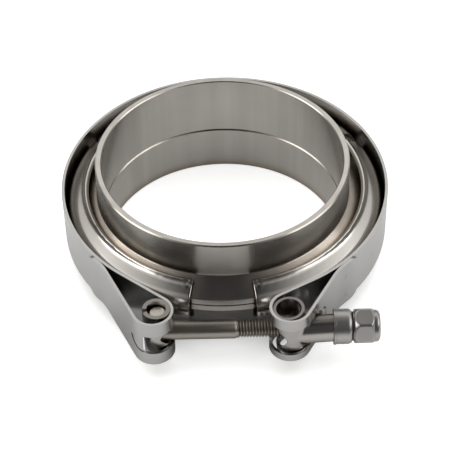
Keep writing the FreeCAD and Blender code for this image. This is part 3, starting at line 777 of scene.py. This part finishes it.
def studio_world():
    """Bright band at the sides and back, dim over the top, dark towards the camera; white when seen."""
    world = bpy.data.worlds.new("studio")
    bpy.context.scene.world = world
    world.use_nodes = True
    tree = world.node_tree
    tree.nodes.clear()
    way = add(tree, "ShaderNodeSeparateXYZ")
    tree.links.new(add(tree, "ShaderNodeTexCoord").outputs["Generated"], way.inputs[0])
    height = times(tree, math_node(tree, "ARCSINE", way.outputs["Z"], 0), 180 / math.pi)
    forward = times(tree, way.outputs["Y"], -1)
    turn = times(tree, math_node(tree, "ARCTAN2", way.outputs["X"], forward), 180 / math.pi)
    aside = math_node(tree, "ABSOLUTE", turn, 0)

    side, back = span(tree, aside, *SIDE), span(tree, aside, *BACK)
    foot = [math_node(tree, "SUBTRACT", angle, times(tree, back, lower))
            for angle, lower in zip(BAND_FOOT, BACK_FOOT_LOWER)]
    band = times(tree, side, span(tree, height, *foot), less(tree, span(tree, height, *BAND_HEAD)),
                 plus(tree, BAND, times(tree, back, BACK_LESS)))
    patches = [times(tree, span(tree, turn, *begin), less(tree, span(tree, turn, *end)),
                     span(tree, height, *PATCH_FOOT), less(tree, span(tree, height, *PATCH_HEAD)), power)
               for begin, end, power in ((LEFT_FROM, LEFT_TO, LEFT_PATCH), (RIGHT_FROM, RIGHT_TO, RIGHT_PATCH))]
    shoulder = times(tree, span(tree, aside, *SHOULDER_SIDE), span(tree, height, *SHOULDER_FOOT),
                     less(tree, span(tree, height, *SHOULDER_HEAD)), SHOULDER)
    top = times(tree, span(tree, height, *ZENITH_FOOT), ZENITH)
    low = times(tree, side, LOW_SIDE)
    darker = times(tree, span(tree, height, *DARKER_FOOT), less(tree, span(tree, aside, *DARKER_SIDE)),
                   FRONT_DARK * DARKER_SHARE)
    dark = math_node(tree, "SUBTRACT", FRONT_DARK, darker)
    total = plus(tree, dark, band, *patches, shoulder, top, low)

    light = add(tree, "ShaderNodeBackground", Color=LIGHT_TONE)
    tree.links.new(total, light.inputs["Strength"])
    white = add(tree, "ShaderNodeBackground", Color=WHITE)
    path = add(tree, "ShaderNodeLightPath")
    mix = add(tree, "ShaderNodeMixShader")
    output = add(tree, "ShaderNodeOutputWorld")
    tree.links.new(path.outputs["Is Camera Ray"], mix.inputs["Fac"])
    tree.links.new(light.outputs["Background"], mix.inputs[1])
    tree.links.new(white.outputs["Background"], mix.inputs[2])
    tree.links.new(mix.outputs["Shader"], output.inputs["Surface"])
    world.cycles.sampling_method = "MANUAL"
    world.cycles.sample_map_resolution = WORLD_MAP


# Floor: pale paper with painted shade. Places are in metres, reaches of its painted shade in millimetres

FLOOR_HALF, FLOOR_CELLS = 3.0, 8
FLOOR_GREY, FLOOR_SHADE, FLOOR_ROUGHNESS = 0.84, 0.25, 0.9
FLOOR_GLOW, FLOOR_MIRRORED = 0.62, 0.05
FLOOR_REACH, FLOOR_CONTACT, CONTACT_DARKEST = 38.0, 14.0, 0.15
INSIDE_PIPE = (0.0435, 0.0450)
FRONT_FLOOR, FRONT_FLOOR_SHARE = (-0.056, -0.030), 0.86
FAR_FLOOR, FAR_FLOOR_SHARE = (-0.24, -0.12), 0.55


def floor():
    """The camera sees a painted contact shadow outside the pipe; the metal sees the floor darker in front, a
    painted shade.
    """
    mesh = bmesh.new()
    bmesh.ops.create_grid(mesh, x_segments=FLOOR_CELLS, y_segments=FLOOR_CELLS, size=FLOOR_HALF)
    data = bpy.data.meshes.new("floor")
    mesh.to_mesh(data)
    mesh.free()
    ground = bpy.data.objects.new("floor", data)
    ground.location.z = FLOOR_Z * MM
    bpy.context.scene.collection.objects.link(ground)

    material, tree, shader = new_material("floor_paper")
    path = add(tree, "ShaderNodeLightPath")
    seen = path.outputs["Is Camera Ray"]
    place = add(tree, "ShaderNodeTexCoord").outputs["Object"]
    across = add(tree, "ShaderNodeSeparateXYZ")
    tree.links.new(place, across.inputs[0])
    reach = add(tree, "ShaderNodeVectorMath", operation="LENGTH")
    tree.links.new(place, reach.inputs[0])

    # Painted contact shadow, for the camera only: the floor darkens near the clamp, but not inside the pipe.
    outside = span(tree, reach.outputs["Value"], *INSIDE_PIPE)
    contact = math_node(tree, "MAXIMUM", crevice(tree, FLOOR_CONTACT, CONTACT_DARKEST), less(tree, outside))
    # Painted shade for reflections: darker near the clamp's front and far out in front.
    near_front = times(tree, crevice(tree, FLOOR_REACH, 0.0), FRONT_FLOOR_SHARE)
    behind = span(tree, across.outputs["Y"], *FRONT_FLOOR)
    far_front = span(tree, across.outputs["Y"], *FAR_FLOOR, FAR_FLOOR_SHARE, 1)
    reflected = times(tree, math_node(tree, "MAXIMUM", near_front, behind), far_front)
    shade = plus(tree, times(tree, seen, contact), times(tree, less(tree, seen), reflected))
    # The painted shade darkens both the paper's colour and its glow.
    paper = ramp(tree, shade, ((0, (FLOOR_SHADE,) * 3), (1, (FLOOR_GREY,) * 3)))
    tree.links.new(paper, shader.inputs["Base Color"])
    shader.inputs["Roughness"].default_value = FLOOR_ROUGHNESS
    shader.inputs["Specular IOR Level"].default_value = 0.0
    shader.inputs["Emission Color"].default_value = WHITE
    glow = times(tree, seen, FLOOR_GLOW)
    mirrored = times(tree, path.outputs["Is Glossy Ray"], FLOOR_MIRRORED)
    lit = times(tree, math_node(tree, "MAXIMUM", glow, mirrored), shade)
    tree.links.new(lit, shader.inputs["Emission Strength"])
    data.materials.append(material)


TOP_POWER, TOP_SIZE, TOP_PLACE = 11.0, 1.6, (0, 0.1, 1.4)


def top_lamp():
    """Lights the floor and what is dull; the metal doesn't mirror it."""
    data = bpy.data.lights.new("top_lamp", "AREA")
    data.shape = "RECTANGLE"
    data.size, data.size_y = TOP_SIZE, TOP_SIZE
    data.energy = TOP_POWER
    lamp = bpy.data.objects.new("top_lamp", data)
    bpy.context.scene.collection.objects.link(lamp)
    lamp.location = TOP_PLACE
    lamp.visible_glossy = False


# Camera, fitted to the photo: distances in metres, angles in radians

FOCAL_PIXELS, IMAGE_PIXELS, SENSOR = 1596.79, 450, 36.0
DISTANCE, ELEVATION, SEAM_Z = 0.5725, math.radians(42.96), -0.0026
PITCH_ANGLE, YAW, ROLL = 0.012255, 0.000846, 0.021135
CLIP = (0.02, 20)


def camera():
    data = bpy.data.cameras.new("camera")
    data.sensor_width = SENSOR
    data.lens = FOCAL_PIXELS * SENSOR / IMAGE_PIXELS
    data.clip_start, data.clip_end = CLIP
    made = bpy.data.objects.new("camera", data)
    bpy.context.scene.collection.objects.link(made)
    eye = Vector((0, -DISTANCE * math.cos(ELEVATION), DISTANCE * math.sin(ELEVATION) + SEAM_Z))
    aim = Vector((0, math.cos(ELEVATION), -math.sin(ELEVATION)))
    right = Vector((1, 0, 0))
    level = Matrix((right, right.cross(aim), -aim))
    turned = (Matrix.Rotation(ROLL, 3, "Z") @ Matrix.Rotation(PITCH_ANGLE, 3, "X")
              @ Matrix.Rotation(YAW, 3, "Y") @ level)
    made.matrix_world = Matrix.Translation(eye) @ turned.transposed().to_4x4()
    bpy.context.scene.camera = made


studio_world()
floor()
top_lamp()
camera()
bpy.context.scene.view_settings.view_transform = "Standard"
